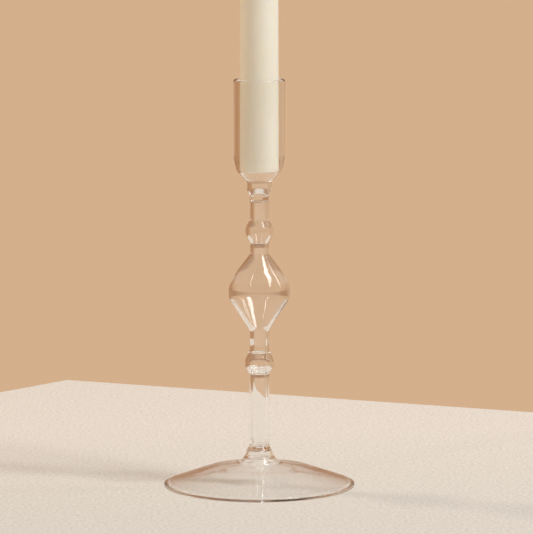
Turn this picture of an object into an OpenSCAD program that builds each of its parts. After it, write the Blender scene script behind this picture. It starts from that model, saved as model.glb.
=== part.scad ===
// Flameworked glass candlestick with a seated dinner candle.
// The origin is the centre of the ring on which the foot stands, +Z up, in millimetres.

/* [Foot] */
// Diameter of the foot
foot_d = 108.4; // [107:0.2:109]
// Height of the foot at its middle
foot_h = 14.4; // [13:0.1:17]
// Thickness of the foot's glass
foot_wall = 2.3; // [1.8:0.1:2.8]
// Diameter of the flat ring that the foot stands on, at its inner edge
stand_ring_d = 103.2; // [102.8:0.2:103.6]

/* [Collar and stem] */
// Diameter of the hollow collar where it meets the foot
collar_d = 21.8; // [20.4:0.1:24]
// Height of the hollow collar
collar_h = 6.3; // [5.5:0.1:8]
// Outer diameter of the stem tube
stem_d = 11.5; // [10.8:0.1:12]
// Bore of the stem tube
stem_bore_d = 7.8; // [7:0.1:8.4]
// Length of the stem tube
stem_len = 41.9; // [30:0.1:80]

/* [Lower bead and neck] */
// Greatest diameter of the lower bead
lower_bead_d = 16.5; // [15.5:0.1:18]
// Height of the lower bead
lower_bead_h = 14.5; // [14:0.1:17]
// Length of the neck between the lower bead and the bulb
lower_neck_len = 11.5; // [9:0.1:25]
// Bore of that neck
lower_neck_bore_d = 8.2; // [7.8:0.1:8.6]

/* [Bulb] */
// Greatest diameter of the double-cone bulb
bulb_d = 34.6; // [32:0.1:35]
// Height of the bulb
bulb_h = 45; // [44.5:0.1:52]
// Thickness of the bulb's glass
bulb_wall = 0.7; // [0.6:0.05:1.1]

/* [Upper bead and necks] */
// Outer diameter of the two upper necks
upper_neck_d = 10.9; // [10.4:0.1:11.4]
// Bore of the two upper necks
upper_bore_d = 8.1; // [7.6:0.1:8.6]
// Length of the neck between the bulb and the upper bead
middle_neck_len = 4.6; // [4:0.1:15]
// Greatest diameter of the upper bead
upper_bead_d = 16.1; // [15.4:0.1:17]
// Height of the upper bead
upper_bead_h = 15.2; // [15:0.1:17]
// Length of the neck between the upper bead and the socket
upper_neck_len = 10.2; // [7:0.1:25]

/* [Candle socket] */
// Outer diameter of the socket
socket_d = 29; // [28.6:0.1:32]
// Bore of the socket, which takes a standard 22 mm dinner candle
socket_bore_d = 24.2; // [23.8:0.1:24.4]
// Height of the socket, from its seal to the floor up to its lip
socket_h = 62.1; // [45:0.1:80]
// Height of the solid glass that closes the socket's bottom, up to its seal to the socket
socket_floor_h = 6; // [5.5:0.1:8]

/* [Candle] */
// Diameter of the candle at its foot
candle_d = 22; // [21.5:0.1:22]
// Length of the candle
candle_len = 200; // [120:1:300]
// Diameter of the wick
wick_d = 1.9; // [1.4:0.1:2.4]
// How far the wick stands out of the candle
wick_tip = 11; // [5:1:15]

/* [Hidden] */
$fn = 96;

// An arc turns by about this many degrees between two of its points
ARC_STEP = 6;
GLASS = [0.80, 0.88, 0.90, 0.45];
WAX = [0.93, 0.88, 0.76];
COTTON = [0.95, 0.93, 0.87];

// Heights of the seals, from the foot up
collar_z = foot_h;
stem_z = collar_z + collar_h;
lower_bead_z = stem_z + stem_len;
lower_neck_z = lower_bead_z + lower_bead_h;
bulb_z = lower_neck_z + lower_neck_len;
middle_neck_z = bulb_z + bulb_h;
upper_bead_z = middle_neck_z + middle_neck_len;
upper_neck_z = upper_bead_z + upper_bead_h;
floor_z = upper_neck_z + upper_neck_len;
socket_z = floor_z + socket_floor_h;

// Radii that the sections share
foot_r = foot_d / 2;
collar_r = collar_d / 2;
stem_r = stem_d / 2;
stem_bore_r = stem_bore_d / 2;
lower_bore_r = lower_neck_bore_d / 2;
neck_r = upper_neck_d / 2;
upper_bore_r = upper_bore_d / 2;
socket_r = socket_d / 2;
socket_bore_r = socket_bore_d / 2;
candle_r = candle_d / 2;

// Radii at the creased seals, where the tube was pinched as it was sealed
collar_cavity_r = collar_r - 2.1;
collar_seal_r = 7.05;
stem_top_bore_r = stem_bore_r - 0.05;
bead_seal_r = neck_r - 0.25;
bead_seal_bore_r = 3.5;
floor_seal_r = neck_r - 0.1;
floor_r = 7.1;
floor_bore_r = 5.45;

// The candle's foot rests in the funnel this far above the socket's seal
candle_rest = 10.2;
candle_z = socket_z + candle_rest;

// The direction from one point to another
function unit(v) = v / norm(v);

// A corner at b, between a and c, turned into an arc of the given radius
function arc_corner(a, b, c, radius) =
    let (
        to_a = unit(a - b),
        to_c = unit(c - b),
        half = acos(to_a * to_c) / 2,
        centre = b + unit(to_a + to_c) * radius / sin(half),
        from = b + to_a * radius / tan(half) - centre,
        to = b + to_c * radius / tan(half) - centre,
        start = atan2(from.y, from.x),
        side = sign(from.x * to.y - from.y * to.x),
        turn = 180 - 2 * half,
        steps = max(2, ceil(turn / ARC_STEP))
    )
    [for (i = [0:steps])
        let (angle = start + side * turn * i / steps)
        centre + radius * [cos(angle), sin(angle)]];

// An outline of [radius, height] corners, where a third number rounds a corner to that radius
function rounded(corners) =
    [for (i = [0:len(corners) - 1])
        let (at = [corners[i].x, corners[i].y])
        each is_undef(corners[i].z) ? [at] : arc_corner(
            [corners[i - 1].x, corners[i - 1].y], at, [corners[i + 1].x, corners[i + 1].y], corners[i].z)];

function backwards(points) = [for (i = [len(points) - 1:-1:0]) points[i]];

// A turned section, standing at height z, between its outside and its inside, both given upwards
module section(z, outside, inside) {
    translate([0, 0, z])
        rotate_extrude()
            polygon(concat(rounded(outside), backwards(rounded(inside))));
}

// A solid of one outline, standing at height z
module turned(z, outline) {
    translate([0, 0, z])
        rotate_extrude()
            polygon(rounded(outline));
}

// Shallow dome with an even wall and a rounded rim, open in its middle into the collar
module foot() {
    shoulder = [27, 11.4];
    brim = [foot_r - 4.3, 3.5];
    color(GLASS) turned(0, [
        [collar_cavity_r, foot_h],
        [collar_cavity_r + 2.2, foot_h - foot_wall, 4],
        [shoulder.x - 0.5, shoulder.y - foot_wall, 60],
        [brim.x + 0.1, brim.y - foot_wall, 5],
        [stand_ring_d / 2, 0],
        [foot_r, 0, 0.7],
        [foot_r, 1.8, 0.9],
        [brim.x, brim.y, 8],
        [shoulder.x, shoulder.y, 60],
        [collar_r + 2.1, foot_h - 0.85, 6],
        [collar_r, foot_h]
    ]);
}

// Flared, hollow collar that carries the stem, closed only by a thin crown
module foot_collar() {
    crown = 0.4;
    color(GLASS) section(collar_z, [
        [collar_r, 0],
        [collar_r - 1.9, 1.6, 3],
        [collar_seal_r, collar_h]
    ], [
        [collar_cavity_r, 0],
        [collar_seal_r + 0.15, 2.2, 3],
        [collar_seal_r - 1.2, collar_h - crown, 0.6],
        [0, collar_h - crown],
        [0, collar_h]
    ]);
}

// Heavy tube, flared at its seal to the collar, whose bore has a rounded closed end
module stem_tube() {
    end_wall = 0.25;
    color(GLASS) section(stem_z, [
        [0, 0],
        [collar_seal_r, 0],
        [stem_r, 2.15, 2],
        [stem_r, stem_len]
    ], [
        [0, end_wall],
        [stem_bore_r - 1.1, end_wall, 2.2],
        [stem_bore_r, 7, 10],
        [stem_bore_r, stem_len - 1, 3],
        [stem_top_bore_r, stem_len]
    ]);
}

// Hollow bead with a flat shoulder on top, drawn in quickly below
module lower_bead() {
    bead_r = lower_bead_d / 2;
    wall = 1.7;
    color(GLASS) section(lower_bead_z, [
        [stem_r, 0],
        [stem_r + 0.15, 2.3, 1.8],
        [bead_r, 6.2, 1.6],
        [bead_r - 0.2, 9.8, 4.2],
        [stem_r + 0.9, lower_bead_h - 0.6, 1],
        [stem_r, lower_bead_h]
    ], [
        [stem_top_bore_r, 0],
        [stem_top_bore_r - 0.55, 1.6, 1],
        [bead_r - wall, 6.2, 1.5],
        [bead_r - wall - 0.15, 9.2, 5],
        [lower_bore_r + 0.5, lower_bead_h - 1.4, 1.4],
        [lower_bore_r, lower_bead_h - 0.7, 0.5],
        [lower_bore_r, lower_bead_h]
    ]);
}

// Short length of the heavy tube, whose bore narrows a little near its bottom
module lower_neck() {
    narrowing = 0.28;
    color(GLASS) section(lower_neck_z, [
        [stem_r, 0],
        [stem_r, lower_neck_len]
    ], [
        [lower_bore_r, 0],
        [lower_bore_r - narrowing, 3.2, 6],
        [lower_bore_r, 7.6, 6],
        [lower_bore_r, lower_neck_len]
    ]);
}

// Thin hollow double cone, fuller in its upper half, with a narrow belt whose wall thickens upward
module diamond_bulb() {
    bulb_r = bulb_d / 2;
    inner_r = bulb_r - bulb_wall;
    low_edge = 19.2;
    high_edge = 25.8;
    fuller = [13.3, 33.4];
    belt_taper = 0.65;
    color(GLASS) section(bulb_z, [
        [stem_r, 0],
        [stem_r, 1, 3.3],
        [bulb_r, low_edge, 3],
        [bulb_r, high_edge, 7],
        [fuller.x, fuller.y, 22],
        [neck_r, bulb_h - 0.9, 2.5],
        [neck_r, bulb_h]
    ], [
        [lower_bore_r, 0],
        [lower_bore_r, 1, 3],
        [inner_r, low_edge + 0.25, 2.6],
        [inner_r - belt_taper, high_edge - 0.25, 6.4],
        [fuller.x - bulb_wall, fuller.y - 0.4, 21],
        [upper_bore_r + 1, bulb_h - 2.6, 4],
        [upper_bore_r, bulb_h - 1.2, 1.5],
        [upper_bore_r, bulb_h]
    ]);
}

// Very short, thinner tube, pinched at its seal to the upper bead
module middle_neck() {
    color(GLASS) section(middle_neck_z, [
        [neck_r, 0],
        [neck_r, middle_neck_len - 0.8, 0.8],
        [bead_seal_r, middle_neck_len]
    ], [
        [upper_bore_r, 0],
        [upper_bore_r, middle_neck_len - 1.6, 1.5],
        [bead_seal_bore_r, middle_neck_len]
    ]);
}

// Hollow bead that runs smoothly into the neck above it
module upper_bead() {
    // The two cones of the bead meet here, and the arc between them reaches the bead's radius
    corner = [upper_bead_d / 2 + 0.8, 7.3];
    wall = 1.35;
    color(GLASS) section(upper_bead_z, [
        [bead_seal_r, 0],
        [corner.x, corner.y, 6.7],
        [neck_r, 14.2, 3],
        [neck_r, upper_bead_h]
    ], [
        [bead_seal_bore_r, 0],
        [bead_seal_bore_r + 0.2, 1.2, 1],
        [corner.x - wall, corner.y, 5.4],
        [upper_bore_r, 13.4, 3],
        [upper_bore_r, upper_bead_h]
    ]);
}

// Thin tube whose bore is closed by a thin flat end under the socket's floor
module upper_neck() {
    end_wall = 0.3;
    color(GLASS) section(upper_neck_z, [
        [neck_r, 0],
        [neck_r, upper_neck_len - 0.7, 1],
        [floor_seal_r, upper_neck_len],
        [0, upper_neck_len]
    ], [
        [upper_bore_r, 0],
        [upper_bore_r, upper_neck_len - end_wall, 1.2],
        [0, upper_neck_len - end_wall]
    ]);
}

// Solid glass that closes the bottom of the socket, domed on top with a groove round the dome
module socket_floor() {
    dome_h = socket_floor_h + 0.4;
    color(GLASS) turned(floor_z, [
        [0, 0],
        [floor_seal_r, 0],
        [floor_seal_r + 0.1, socket_floor_h - 2.8, 1.5],
        [floor_r - 0.2, socket_floor_h - 0.8, 0.8],
        [floor_r, socket_floor_h],
        [floor_bore_r, socket_floor_h],
        [4.5, socket_floor_h - 4],
        [3.8, dome_h - 2, 3],
        [1.7, dome_h - 0.1, 3.5],
        [0, dome_h]
    ]);
}

// Straight tube drawn down to a funnel, with a fire-polished lip
module candle_socket() {
    lip_round = (socket_r - socket_bore_r) / 2 - 0.05;
    color(GLASS) section(socket_z, [
        [floor_r, 0],
        [floor_r + 0.1, 4.2, 1.8],
        [12.7, 9.9, 4.5],
        [socket_r, 17.8, 14],
        [socket_r, socket_h, lip_round],
        [socket_r - lip_round, socket_h]
    ], [
        [floor_bore_r, 0],
        [floor_bore_r + 0.25, 4.6, 1.2],
        [11.4, 10.5, 3],
        [socket_bore_r, 15.2, 10],
        [socket_bore_r, socket_h, lip_round],
        [socket_bore_r + lip_round, socket_h]
    ]);
}

// Almost straight dinner candle with a tapered tip and a hole for its wick
module candle_wax() {
    tip_r = 4.5;
    tip_len = 20;
    foot_bevel = 0.5;
    color(WAX) section(candle_z, [
        [candle_r - foot_bevel, 0],
        [candle_r, foot_bevel],
        [candle_r - 0.5, candle_len - tip_len, 30],
        [tip_r, candle_len, 2],
        [wick_d / 2, candle_len]
    ], [
        [wick_d / 2, 0],
        [wick_d / 2, candle_len]
    ]);
}

// Braided wick through the whole candle
module candle_wick() {
    color(COTTON)
        translate([0, 0, candle_z])
            cylinder(d = wick_d, h = candle_len + wick_tip);
}

foot();
foot_collar();
stem_tube();
lower_bead();
lower_neck();
diamond_bulb();
middle_neck();
upper_bead();
upper_neck();
socket_floor();
candle_socket();
candle_wax();
candle_wick();
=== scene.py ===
"""A flameworked glass candlestick with a seated dinner candle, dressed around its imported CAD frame."""

import math

import bpy
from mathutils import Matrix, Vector


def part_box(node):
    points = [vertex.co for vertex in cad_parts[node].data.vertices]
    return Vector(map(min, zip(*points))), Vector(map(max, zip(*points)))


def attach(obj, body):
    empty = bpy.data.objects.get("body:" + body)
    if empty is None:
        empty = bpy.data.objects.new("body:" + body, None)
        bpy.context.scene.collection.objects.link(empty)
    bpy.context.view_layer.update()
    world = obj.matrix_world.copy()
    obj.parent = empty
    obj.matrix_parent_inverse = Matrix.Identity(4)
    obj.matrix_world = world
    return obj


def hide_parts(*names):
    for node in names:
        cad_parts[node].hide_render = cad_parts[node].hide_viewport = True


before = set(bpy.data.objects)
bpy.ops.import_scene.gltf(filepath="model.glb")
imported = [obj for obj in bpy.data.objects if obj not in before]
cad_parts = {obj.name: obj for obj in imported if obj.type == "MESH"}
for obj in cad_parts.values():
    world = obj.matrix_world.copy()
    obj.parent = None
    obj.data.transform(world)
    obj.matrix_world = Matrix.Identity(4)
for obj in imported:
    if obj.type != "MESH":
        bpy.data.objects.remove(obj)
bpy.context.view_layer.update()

MM = 0.001
BLACK, WHITE = (0, 0, 0), (1, 1, 1)
scene = bpy.context.scene

# ---------------------------------------------------------------- camera

CAMERA_DISTANCE = 2.150
CAMERA_HEIGHT = 0.394
CAMERA_PITCH = math.radians(7.125)
CAMERA_YAW = math.radians(0.109)
LENS = 258.8
SENSOR_WIDTH = 36.0


def add_camera():
    """A long-lens view, a little down onto the object, which stands just left of the middle."""
    data = bpy.data.cameras.new("camera")
    data.sensor_fit = "HORIZONTAL"
    data.sensor_width = SENSOR_WIDTH
    data.lens = LENS
    data.clip_end = 50.0
    camera = bpy.data.objects.new("camera", data)
    scene.collection.objects.link(camera)
    camera.location = (0, -CAMERA_DISTANCE, CAMERA_HEIGHT)
    camera.rotation_euler = (math.pi / 2 - CAMERA_PITCH, 0, -CAMERA_YAW)
    scene.camera = camera


# ---------------------------------------------------------------- mesh work

SEGMENTS = 192
ARC_STEP = math.radians(3.5)
TOUCHING = 1e-6


def add_mesh(name, verts, faces, materials, smooth=True):
    """A mesh object, from its points in metres and its faces."""
    mesh = bpy.data.meshes.new(name)
    mesh.from_pydata(verts, [], faces)
    for material in materials:
        mesh.materials.append(material)
    mesh.polygons.foreach_set("use_smooth", [smooth] * len(faces))
    mesh.update()
    piece = bpy.data.objects.new(name, mesh)
    scene.collection.objects.link(piece)
    return piece


def round_axis(r, turn, z):
    """The point in metres at a radius, an angle and a height, where both lengths are in millimetres."""
    return (r * math.cos(turn) * MM, r * math.sin(turn) * MM, z * MM)


def arc_corner(a, b, c, radius):
    """The corner b, between a and c, turned into an arc of the given radius."""
    to_a, to_c = (a - b).normalized(), (c - b).normalized()
    half = math.acos(to_a.dot(to_c)) / 2
    centre = b + (to_a + to_c).normalized() * radius / math.sin(half)
    start = b + to_a * radius / math.tan(half) - centre
    end = b + to_c * radius / math.tan(half) - centre
    first = math.atan2(start.y, start.x)
    turn = math.atan2(start.x * end.y - start.y * end.x, start.dot(end))
    steps = max(2, math.ceil(abs(turn) / ARC_STEP))
    angles = [first + turn * i / steps for i in range(steps + 1)]
    return [centre + radius * Vector((math.cos(t), math.sin(t))) for t in angles]


def rounded(corners):
    """An outline of (radius, height) corners, where a third number rounds a corner to that radius."""
    at = [Vector(corner[:2]) for corner in corners]
    points = []
    for i, corner in enumerate(corners):
        points += arc_corner(at[i - 1], at[i], at[i + 1], corner[2]) if len(corner) > 2 else [at[i]]
    return points


def joined(stretches):
    """The points of a whole section, the material slot of each step, and which points are creases."""
    points, slots, creases = [], [], {0}
    for outline, slot in stretches:
        run = rounded(outline)
        points += run if not points else run[1:]
        slots += [slot] * (len(points) - 1 - len(slots))
        creases.add(len(points) - 1)
    if (points[0] - points[-1]).length < TOUCHING:
        points.pop()
    return points, slots, creases


def turned(name, base, stretches, materials):
    """A turned piece standing at height base. Each stretch is (outline, material slot) in millimetres.

    The stretches run anticlockwise round the section, each from the last one's end, with a crease
    between them. A section either closes on itself or starts and ends on the axis.
    """
    points, slots, creases = joined(stretches)
    verts, rings = [], []
    for point in points:
        count = 1 if point.x < TOUCHING else SEGMENTS
        rings.append([len(verts) + j for j in range(count)])
        verts += [round_axis(max(point.x, 0), 2 * math.pi * j / SEGMENTS, base + point.y)
                  for j in range(count)]
    faces, face_slots = [], []
    for i, slot in enumerate(slots):
        low, high = rings[i], rings[(i + 1) % len(rings)]
        if len(low) == len(high) == 1:
            continue
        for j in range(SEGMENTS):
            k = (j + 1) % SEGMENTS
            corners = [low[j % len(low)], low[k % len(low)], high[k % len(high)], high[j % len(high)]]
            faces.append(list(dict.fromkeys(corners)))
            face_slots.append(slot)
    piece = add_mesh(name, verts, faces, materials)
    piece.data.polygons.foreach_set("material_index", face_slots)
    sharp = set()
    for i in creases:
        ring = rings[i % len(rings)]
        if len(ring) > 1:
            sharp |= {frozenset((ring[j], ring[(j + 1) % SEGMENTS])) for j in range(SEGMENTS)}
    for edge in piece.data.edges:
        edge.use_edge_sharp = frozenset(edge.vertices) in sharp
    piece.data.update()
    return piece


def measured(node):
    """Base height, height and greatest radius of a CAD node, in millimetres."""
    low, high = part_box(node)
    return low.z / MM, (high.z - low.z) / MM, high.x / MM


# ---------------------------------------------------------------- node helpers


def new_material(name):
    """An empty node material, and its node tree."""
    material = bpy.data.materials.new(name)
    material.use_nodes = True
    material.node_tree.nodes.clear()
    return material, material.node_tree


def output(tree, shader):
    """Shows a shader on the material's surface."""
    node = tree.nodes.new("ShaderNodeOutputMaterial")
    tree.links.new(shader, node.inputs["Surface"])


def noise(tree, scale, detail=3.0, stretch=(1, 1, 1)):
    """A noise value over the object's own millimetres. A stretch below 1 draws it out along that axis."""
    coords = tree.nodes.new("ShaderNodeTexCoord")
    mapping = tree.nodes.new("ShaderNodeMapping")
    mapping.inputs["Scale"].default_value = [s / MM for s in stretch]
    texture = tree.nodes.new("ShaderNodeTexNoise")
    texture.inputs["Scale"].default_value = scale
    texture.inputs["Detail"].default_value = detail
    tree.links.new(coords.outputs["Object"], mapping.inputs["Vector"])
    tree.links.new(mapping.outputs["Vector"], texture.inputs["Vector"])
    return texture.outputs["Fac"]


def axes_of(tree, coordinates):
    """The separate X, Y and Z outputs of the named texture coordinates."""
    coords = tree.nodes.new("ShaderNodeTexCoord")
    axes = tree.nodes.new("ShaderNodeSeparateXYZ")
    tree.links.new(coords.outputs[coordinates], axes.inputs[0])
    return axes.outputs


def maths(tree, operation, a, b):
    """The result of an operation on two other nodes' outputs."""
    node = tree.nodes.new("ShaderNodeMath")
    node.operation = operation
    tree.links.new(a, node.inputs[0])
    tree.links.new(b, node.inputs[1])
    return node.outputs[0]


def share(tree, value, low, high):
    """How far a value lies from low to high, as 0 to 1."""
    node = tree.nodes.new("ShaderNodeMapRange")
    node.inputs["From Min"].default_value = low
    node.inputs["From Max"].default_value = high
    tree.links.new(value, node.inputs["Value"])
    return node.outputs[0]


def ramp(tree, value, stops):
    """A colour from a value, through (position, colour) stops."""
    node = tree.nodes.new("ShaderNodeValToRGB")
    elements = node.color_ramp.elements
    while len(elements) < len(stops):
        elements.new(0.5)
    for element, (position, colour) in zip(elements, stops):
        element.position = position
        element.color = (*colour, 1)
    tree.links.new(value, node.inputs["Fac"])
    return node.outputs["Color"]


def mixed(tree, factor, a, b, blend="MIX"):
    """Two colours mixed by a factor. Each of the three is a fixed value or another node's output."""
    node = tree.nodes.new("ShaderNodeMix")
    node.data_type = "RGBA"
    node.blend_type = blend
    colours = [socket for socket in node.inputs if socket.type == "RGBA"]
    for socket, value in zip([node.inputs["Factor"]] + colours, (factor, a, b)):
        if isinstance(value, bpy.types.NodeSocket):
            tree.links.new(value, socket)
        else:
            socket.default_value = (*value, 1) if isinstance(value, tuple) else value
    return next(socket for socket in node.outputs if socket.type == "RGBA")


def bump(tree, height, distance):
    """A relief of the given depth in metres, as a normal."""
    node = tree.nodes.new("ShaderNodeBump")
    node.inputs["Strength"].default_value = 1.0
    node.inputs["Distance"].default_value = distance
    tree.links.new(height, node.inputs["Height"])
    return node.outputs["Normal"]


def principled(tree, colour, relief, settings):
    """A Principled shader with a varying colour and relief. The settings are its other sockets."""
    shader = tree.nodes.new("ShaderNodeBsdfPrincipled")
    tree.links.new(colour, shader.inputs["Base Color"])
    tree.links.new(relief, shader.inputs["Normal"])
    for socket, value in settings.items():
        shader.inputs[socket].default_value = value
    return shader.outputs[0]


# ---------------------------------------------------------------- materials


def glass_material(name, shadow):
    """Clear borosilicate with faint drawn striae.

    Lamplight goes straight through it, dimmed by the shadow stops, which run from glass that faces
    the light to glass that it grazes. Light from matt surfaces goes straight through undimmed.
    """
    material, tree = new_material(name)
    tint = ramp(tree, noise(tree, 0.12), [(0.3, (0.985, 0.99, 0.985)), (0.7, WHITE)])
    striae = bump(tree, noise(tree, 0.5, stretch=(1, 1, 0.15)), 0.01 * MM)
    bending = principled(tree, tint, striae, {"Roughness": 0.0, "IOR": 1.47, "Transmission Weight": 1.0})
    path = tree.nodes.new("ShaderNodeLightPath")
    lamp_ray, matt_ray = path.outputs["Is Shadow Ray"], path.outputs["Is Diffuse Ray"]
    weight = tree.nodes.new("ShaderNodeLayerWeight")
    weight.inputs["Blend"].default_value = 0.5
    shade = ramp(tree, weight.outputs["Facing"], shadow)
    clear = tree.nodes.new("ShaderNodeBsdfTransparent")
    tree.links.new(mixed(tree, lamp_ray, WHITE, shade), clear.inputs["Color"])
    mix = tree.nodes.new("ShaderNodeMixShader")
    tree.links.new(maths(tree, "MAXIMUM", lamp_ray, matt_ray), mix.inputs[0])
    tree.links.new(bending, mix.inputs[1])
    tree.links.new(clear.outputs[0], mix.inputs[2])
    output(tree, mix.outputs[0])
    return material


def thin_glass():
    """Thin walls, which cast hardly any shadow except where the light grazes them."""
    return glass_material("thin_glass", [(0.4, WHITE), (0.7, (0.85, 0.84, 0.82)), (0.97, (0.25, 0.23, 0.2))])


def heavy_glass():
    """Beads, bulb and heavy tube, which bend much of the light away and cast a light shadow."""
    return glass_material("heavy_glass", [(0, (0.8, 0.8, 0.8)), (0.5, (0.6, 0.6, 0.6)),
                                          (0.95, (0.1, 0.1, 0.1))])


def seam_material():
    """The fused joint between two sections: the glass runs through it, so nothing shows."""
    material, tree = new_material("fused_seam")
    clear = tree.nodes.new("ShaderNodeBsdfTransparent")
    output(tree, clear.outputs[0])
    return material


def wax_material():
    """Ivory wax, faintly cloudy, that glows a little under the surface."""
    material, tree = new_material("ivory_wax")
    cloud = ramp(tree, noise(tree, 0.06, stretch=(1, 1, 0.3)),
                 [(0.3, (0.83, 0.80, 0.69)), (0.7, (0.87, 0.845, 0.745))])
    ripple = bump(tree, noise(tree, 0.35, stretch=(1, 1, 0.25)), 0.05 * MM)
    output(tree, principled(tree, cloud, ripple, {
        "Roughness": 0.42,
        "Subsurface Weight": 0.6,
        "Subsurface Radius": (1.0, 0.75, 0.45),
        "Subsurface Scale": 4 * MM,
    }))
    return material


def wick_material():
    """Bleached cotton yarn."""
    material, tree = new_material("wick_cotton")
    fibre = ramp(tree, noise(tree, 5), [(0.3, (0.72, 0.69, 0.62)), (0.7, (0.88, 0.86, 0.80))])
    output(tree, principled(tree, fibre, bump(tree, noise(tree, 9), 0.08 * MM), {"Roughness": 0.9}))
    return material


def floor_material():
    """Pale, finely grained table top, with painted shade: darker and cooler in front of the object."""
    material, tree = new_material("pale_floor")
    grain = ramp(tree, noise(tree, 0.5, 6), [(0.3, (0.57, 0.56, 0.55)), (0.7, (0.73, 0.72, 0.71))])
    # Painted light: the colour turns lighter and warmer towards the wall behind, standing in for its bounce
    # light, and darker and cooler in front
    away = share(tree, axes_of(tree, "Object")["Y"], -0.10, 0.20)
    tint = ramp(tree, away, [(0, (0.885, 0.905, 0.905)), (1, (1, 0.99, 0.98))])
    colour = mixed(tree, 1.0, grain, tint, "MULTIPLY")
    output(tree, principled(tree, colour, bump(tree, noise(tree, 0.4, 6), 0.8 * MM), {"Roughness": 0.85}))
    return material


# ---------------------------------------------------------------- glass sections

GLASS, SEAM = 0, 1

# Radii in millimetres of the tube stock, and at the seals where two sections were fused together
TUBE_R = 5.75
NECK_R = 5.45
COLLAR_FOOT_R = 10.9
COLLAR_CAVITY_R = 8.8
COLLAR_TOP_R = 7.05
STEM_TOP_BORE_R = 3.85
LOWER_BORE_R = 4.1
UPPER_BORE_R = 4.05
BEAD_SEAL_R = 5.2
BEAD_SEAL_BORE_R = 3.5
FLOOR_SEAL_R = 5.35
FLOOR_TOP_R = 7.1
FLOOR_BORE_R = 5.45


# Each section below is named after its CAD node, and gives its stretches for turned() from the node's
# height and greatest radius. Its corners are (radius, height above its base, radius of the rounding).


def foot(height, r):
    """A shallow dome with an even wall and a rounded rim, open in its middle to the collar's cavity."""
    underside = [(COLLAR_CAVITY_R, height), (11, 12.1, 4), (26.5, 9.1, 60),
                 (r - 4.2, 1.2, 5), (r - 2.6, 0)]
    top = [(r - 2.6, 0), (r, 0, 0.7), (r, 1.8, 0.9), (r - 4.3, 3.5, 8), (27, 11.4, 60), (13, 13.55, 6),
           (COLLAR_FOOT_R, height)]
    return [(underside, GLASS), (top, GLASS), ([(COLLAR_FOOT_R, height), (COLLAR_CAVITY_R, height)], SEAM)]


def foot_collar(height, r):
    """A flared, hollow collar under the stem, open below."""
    roof = height - 0.4
    side = [(COLLAR_FOOT_R, 0), (9, 1.6, 3), (COLLAR_TOP_R, height)]
    cavity = [(0, height), (0, roof), (5.85, roof, 0.6), (7.2, 2.2, 3), (COLLAR_CAVITY_R, 0)]
    return [([(COLLAR_CAVITY_R, 0), (COLLAR_FOOT_R, 0)], SEAM), (side, GLASS),
            ([(COLLAR_TOP_R, height), (0, height)], SEAM), (cavity, GLASS)]


def pipe(outside, inside):
    """An open length of tube between two seams, from its outside and its inside, both given upwards."""
    low_seam = [inside[0][:2], outside[0][:2]]
    top_seam = [outside[-1][:2], inside[-1][:2]]
    return [(low_seam, SEAM), (outside, GLASS), (top_seam, SEAM), (inside[::-1], GLASS)]


def stem_tube(height, r):
    """Heavy tube whose bore has a rounded closed end."""
    bore_r, end_wall = 3.9, 0.25
    outside = [(COLLAR_TOP_R, 0), (TUBE_R, 2.15, 2), (TUBE_R, height)]
    bore = [(STEM_TOP_BORE_R, height), (bore_r, height - 1, 3), (bore_r, 7, 10), (2.8, end_wall, 2.2),
            (0, end_wall)]
    return [([(0, 0), (COLLAR_TOP_R, 0)], SEAM), (outside, GLASS),
            ([(TUBE_R, height), (STEM_TOP_BORE_R, height)], SEAM), (bore, GLASS)]


def lower_bead(height, r):
    """Hollow bead with a flat shoulder on top, drawn in quickly below."""
    wall, middle = 1.7, (8.25, 6.2)
    outside = [(TUBE_R, 0), (TUBE_R + 0.15, 2.3, 1.8), (*middle, 1.6), (8.05, 9.8, 4.2),
               (TUBE_R + 0.9, height - 0.6, 1), (TUBE_R, height)]
    inside = [(STEM_TOP_BORE_R, 0), (3.3, 1.6, 1), (middle[0] - wall, middle[1], 1.5), (6.4, 9.2, 5),
              (4.6, height - 1.4, 1.4), (LOWER_BORE_R, height - 0.7, 0.5), (LOWER_BORE_R, height)]
    return pipe(outside, inside)


def lower_neck(height, r):
    """Heavy tube, whose bore narrows a little near its bottom."""
    outside = [(r, 0), (r, height)]
    inside = [(LOWER_BORE_R, 0), (LOWER_BORE_R - 0.28, 3.2, 6), (LOWER_BORE_R, 7.6, 6),
              (LOWER_BORE_R, height)]
    return pipe(outside, inside)


def diamond_bulb(height, r):
    """Thin hollow double cone with a narrow rounded belt, whose wall thickens upward."""
    wall, belt_taper = 0.7, 0.65
    widest, low_edge, high_edge = 17.3, 19.2, 25.8
    fuller = (13.3, 33.4)
    outside = [(TUBE_R, 0), (TUBE_R, 1, 3.3), (widest, low_edge, 3), (widest, high_edge, 7), (*fuller, 22),
               (NECK_R, height - 0.9, 2.5), (NECK_R, height)]
    inside = [(LOWER_BORE_R, 0), (LOWER_BORE_R, 1.0, 3), (widest - wall, low_edge + 0.25, 2.6),
              (widest - wall - belt_taper, high_edge - 0.25, 6.4), (fuller[0] - wall, fuller[1] - 0.4, 21),
              (UPPER_BORE_R + 1.0, height - 2.6, 4), (UPPER_BORE_R, height - 1.2, 1.5),
              (UPPER_BORE_R, height)]
    return pipe(outside, inside)


def middle_neck(height, r):
    """Very short tube, pinched at its seal to the upper bead."""
    outside = [(r, 0), (r, height - 0.8, 0.8), (BEAD_SEAL_R, height)]
    inside = [(UPPER_BORE_R, 0), (UPPER_BORE_R, height - 1.6, 1.5), (BEAD_SEAL_BORE_R, height)]
    return pipe(outside, inside)


def upper_bead(height, r):
    """Hollow bead that runs smoothly into the neck above it."""
    wall, middle = 1.35, (8.85, 7.3)
    outside = [(BEAD_SEAL_R, 0), (*middle, 6.7), (NECK_R, 14.2, 3), (NECK_R, height)]
    inside = [(BEAD_SEAL_BORE_R, 0), (BEAD_SEAL_BORE_R + 0.2, 1.2, 1), (middle[0] - wall, middle[1], 5.4),
              (UPPER_BORE_R, 13.4, 3), (UPPER_BORE_R, height)]
    return pipe(outside, inside)


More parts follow.
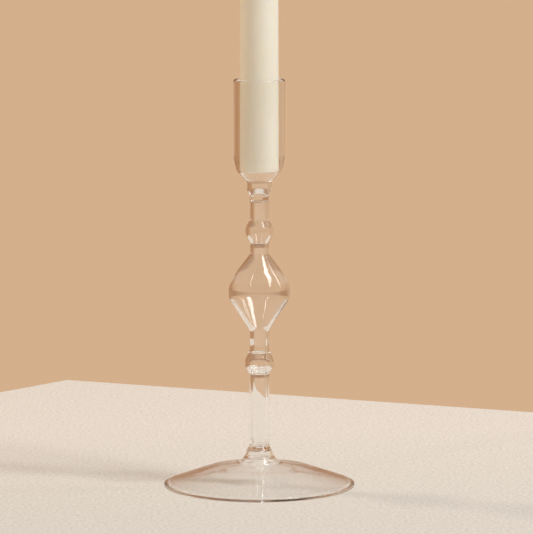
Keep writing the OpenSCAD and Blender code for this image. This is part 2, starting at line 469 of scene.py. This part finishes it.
def upper_neck(height, r):
    """Thin tube whose bore ends in a dome under the socket's floor."""
    end_wall = 0.3
    outside = [(r, 0), (r, height - 0.7, 1), (FLOOR_SEAL_R, height)]
    bore = [(0, height - end_wall), (UPPER_BORE_R, height - end_wall, 1.2), (UPPER_BORE_R, 0)]
    return [([(UPPER_BORE_R, 0), (r, 0)], SEAM), (outside, GLASS),
            ([(FLOOR_SEAL_R, height), (0, height)], SEAM), (bore, GLASS)]


def socket_floor(height, r):
    """Solid plug that closes the bottom of the socket, domed on top with a groove round the dome."""
    seal, groove = height - 0.4, (4.5, 2.0)
    side = [(FLOOR_SEAL_R, 0), (5.45, 3.2, 1.5), (6.9, 5.2, 0.8), (FLOOR_TOP_R, seal)]
    dome = [groove, (3.8, height - 2.0, 3), (1.7, height - 0.1, 3.5), (0, height)]
    return [([(0, 0), (FLOOR_SEAL_R, 0)], SEAM), (side, GLASS),
            ([(FLOOR_TOP_R, seal), (FLOOR_BORE_R, seal)], SEAM), ([(FLOOR_BORE_R, seal), groove], GLASS),
            (dome, GLASS)]


def candle_socket(height, r):
    """Straight tube drawn down to a funnel, with a fire-polished lip."""
    bore_r, lip = 12.1, 1.15
    outside = [(FLOOR_TOP_R, 0), (7.2, 4.2, 1.8), (12.7, 9.9, 4.5), (r, 17.8, 14), (r, height, lip),
               (r - lip, height)]
    inside = [(FLOOR_BORE_R, 0), (5.7, 4.6, 1.2), (11.4, 10.5, 3), (bore_r, 15.2, 10),
              (bore_r, height, lip), (bore_r + lip, height)]
    return [([(FLOOR_BORE_R, 0), (FLOOR_TOP_R, 0)], SEAM), (outside, GLASS),
            ([outside[-1][:2], inside[-1][:2]], GLASS), (inside[::-1], GLASS)]


THIN_SECTIONS = [foot, candle_socket]
SECTIONS = [foot, foot_collar, stem_tube, lower_bead, lower_neck, diamond_bulb, middle_neck, upper_bead,
            upper_neck, socket_floor, candle_socket]


def add_glass():
    """One closed piece for each section, from the foot up."""
    thin, heavy, seam = thin_glass(), heavy_glass(), seam_material()
    for section in SECTIONS:
        node = section.__name__
        base, height, r = measured(node)
        glass = thin if section in THIN_SECTIONS else heavy
        piece = turned(f"{node}_glass", base, section(height, r), [glass, seam])
        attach(piece, "candlestick")
        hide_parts(node)


# ---------------------------------------------------------------- candle


def add_wax():
    """A dinner candle that slims a little to its tapered tip, bored for its wick."""
    base, height, r = measured("candle_wax")
    wick_r = measured("candle_wick")[2]
    bevel, slimming, tip_len, tip_r = 0.5, 0.5, 20, 4.5
    under = [(wick_r, 0), (r - bevel, 0)]
    side = [(r - bevel, 0), (r, bevel, 0.4), (r - slimming, height - tip_len, 30), (tip_r, height, 2),
            (wick_r, height)]
    bore = [(wick_r, height), (wick_r, 0)]
    wax = turned("dinner_candle", base, [(under, 0), (side, 0), (bore, 0)], [wax_material()])
    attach(wax, "candle")
    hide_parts("candle_wax")


def braid_radius(turn, z):
    """The share of a wick's radius that its six interlaced yarns reach at an angle and a height."""
    yarns, lay, valley = 6, 1.9, 0.74
    round_it, along_it = yarns * turn / (2 * math.pi), z / lay
    over, under = round_it + along_it, round_it - along_it
    if (math.floor(over) + math.floor(under)) % 2:
        over, under = under, over
    crown = abs(math.sin(math.pi * under)) ** 0.6
    length = 0.4 + 0.6 * abs(math.sin(math.pi * over))
    return valley + (1 - valley) * crown * length


def add_wick():
    """A braided wick, plain where the wax hides it and rounded off at its tip."""
    base, height, r = measured("candle_wick")
    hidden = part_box("candle_wax")[1].z / MM - base - 1
    sides, rounds, tip, tip_share = 60, 120, 0.8, 0.25
    levels = [0] + [hidden + (height - hidden) * i / rounds for i in range(rounds + 1)]
    verts = [round_axis(0, 0, base)]
    for z in levels:
        into_tip = max(0, (z - height + tip) / tip)
        across = r * (tip_share + (1 - tip_share) * math.sqrt(1 - into_tip ** 2))
        for j in range(sides):
            turn = 2 * math.pi * j / sides
            yarn = braid_radius(turn, z) if z > hidden else 1
            verts.append(round_axis(across * yarn, turn, base + z))
    last = len(verts)
    verts.append(round_axis(0, 0, base + height))
    faces = []
    for j in range(sides):
        k = (j + 1) % sides
        for low in range(1, last - sides, sides):
            faces.append((low + j, low + k, low + sides + k, low + sides + j))
        faces += [(0, 1 + k, 1 + j), (last - sides + j, last - sides + k, last)]
    wick = add_mesh("braided_wick", verts, faces, [wick_material()])
    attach(wick, "candle")
    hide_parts("candle_wick")


# ---------------------------------------------------------------- stage and light


def add_floor():
    """A pale slab that reaches from a corner behind the object to past the camera."""
    gap, thickness, reach = 0.1 * MM, 0.04, 3.0
    corner = Vector((-0.129, 0.392, -gap))
    right, left = math.radians(-24.0), math.radians(-128)
    along = Vector((math.cos(right), math.sin(right), 0)) * reach
    ahead = Vector((math.cos(left), math.sin(left), 0)) * reach
    top = [corner, corner + along, corner + along + ahead, corner + ahead]
    verts = top + [c - Vector((0, 0, thickness)) for c in top]
    faces = [(3, 2, 1, 0), (4, 5, 6, 7)] + [(i, (i + 1) % 4, (i + 1) % 4 + 4, i + 4) for i in range(4)]
    slab = add_mesh("floor", verts, faces, [floor_material()], smooth=False)


def softbox(name, towards, distance, width, height, radiance, colour=WHITE, reflected=True):
    """A rectangular lamp that faces the bulb from the given direction."""
    low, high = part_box("diamond_bulb")
    target = (low + high) / 2
    data = bpy.data.lights.new(name, "AREA")
    data.shape = "RECTANGLE"
    data.size, data.size_y = width, height
    data.energy = radiance * math.pi * width * height
    data.color = colour
    lamp = bpy.data.objects.new(name, data)
    scene.collection.objects.link(lamp)
    away = Vector(towards).normalized()
    lamp.location = target + away * distance
    lamp.rotation_euler = away.to_track_quat("Z", "Y").to_euler()
    lamp.visible_glossy = lamp.visible_transmission = reflected


def add_lights():
    """Three lamps that show in the glass, and two that only light the candle and the table."""
    softbox("key", (0.50, -0.31, 0.80), 3.2, 0.85, 1.4, 11.5)
    softbox("key_core", (0.54, -0.21, 0.80), 3.3, 0.35, 0.35, 56, reflected=False)
    softbox("side", (0.80, 0.10, 0.60), 3.2, 0.2, 1.2, 9)
    softbox("glint", (-0.44, -0.46, 0.78), 3.2, 0.1, 0.9, 9)
    softbox("fill", (-0.56, 0.29, 0.70), 3.2, 0.45, 0.45, 46, (1, 0.87, 0.68), reflected=False)


def at(degrees):
    """The place on a bearing ramp of a direction this far to the right of straight behind the object."""
    return 0.5 + degrees / 360


def up(degrees):
    """The place on an elevation ramp of a direction this far above the level."""
    return 0.5 + math.sin(math.radians(degrees)) / 2


def wall_colours(tree, bearing, elevation):
    """The walls all round: warm behind the object, dim round the camera, darker and cooler upward."""
    room, left = (0.26, 0.18, 0.12), (0.46, 0.24, 0.12)
    near, right = (0.66, 0.43, 0.265), (0.58, 0.39, 0.24)
    around = ramp(tree, bearing, [(at(-135), room), (at(-105), left), (at(-16), left), (at(-10), near),
                                  (at(15), near), (at(40), right), (at(100), right), (at(125), room)])
    ahead = ramp(tree, elevation, [(up(-2.8), WHITE), (up(0), (0.62, 0.52, 0.46)),
                                   (up(20), (0.60, 0.48, 0.42)), (up(40), (0.55, 0.50, 0.50)),
                                   (up(60), (0.40, 0.45, 0.60))])
    beside = ramp(tree, elevation, [(up(12), WHITE), (up(30), (0.8, 0.72, 0.68)),
                                    (up(60), (0.50, 0.50, 0.60))])
    aside = ramp(tree, bearing, [(at(-22), WHITE), (at(-12), BLACK), (at(18), BLACK), (at(28), WHITE)])
    return mixed(tree, 1.0, around, mixed(tree, aside, ahead, beside), "MULTIPLY")


def doorway(tree, bearing, elevation):
    """White in a high opening behind the object and to its right, and black elsewhere."""
    across = ramp(tree, bearing, [(at(4), BLACK), (at(10), WHITE), (at(45), WHITE), (at(55), BLACK)])
    above = ramp(tree, elevation, [(up(42), BLACK), (up(48), WHITE)])
    return mixed(tree, 1.0, across, above, "MULTIPLY")


def add_world():
    """Walls and a dark doorway for the glass to show, and a plainer soft light for matt surfaces."""
    world = bpy.data.worlds.new("studio")
    world.use_nodes = True
    tree = world.node_tree
    tree.nodes.clear()
    axes = axes_of(tree, "Generated")
    bearing = share(tree, maths(tree, "ARCTAN2", axes["X"], axes["Y"]), -math.pi, math.pi)
    elevation = share(tree, axes["Z"], -1, 1)
    dark = (0.02, 0.015, 0.01)
    seen = mixed(tree, doorway(tree, bearing, elevation), wall_colours(tree, bearing, elevation), dark)
    warm, plain = (0.66, 0.46, 0.29), (0.52, 0.49, 0.45)
    ambient = ramp(tree, bearing, [(at(-180), plain), (at(-150), warm), (at(-20), warm), (at(60), plain)])
    path = tree.nodes.new("ShaderNodeLightPath")
    background = tree.nodes.new("ShaderNodeBackground")
    tree.links.new(mixed(tree, path.outputs["Is Diffuse Ray"], seen, ambient), background.inputs["Color"])
    out = tree.nodes.new("ShaderNodeOutputWorld")
    tree.links.new(background.outputs[0], out.inputs["Surface"])
    scene.world = world


def set_light_paths():
    """Plain colours, and bounces enough for light to find its way out of nested glass."""
    scene.view_settings.view_transform = "Standard"
    scene.cycles.max_bounces = 48
    scene.cycles.transmission_bounces = 48
    scene.cycles.glossy_bounces = 48
    scene.cycles.transparent_max_bounces = 64
    scene.cycles.caustics_reflective = False
    scene.cycles.caustics_refractive = True


add_camera()
add_floor()
add_lights()
add_world()
add_glass()
add_wax()
add_wick()
set_light_paths()
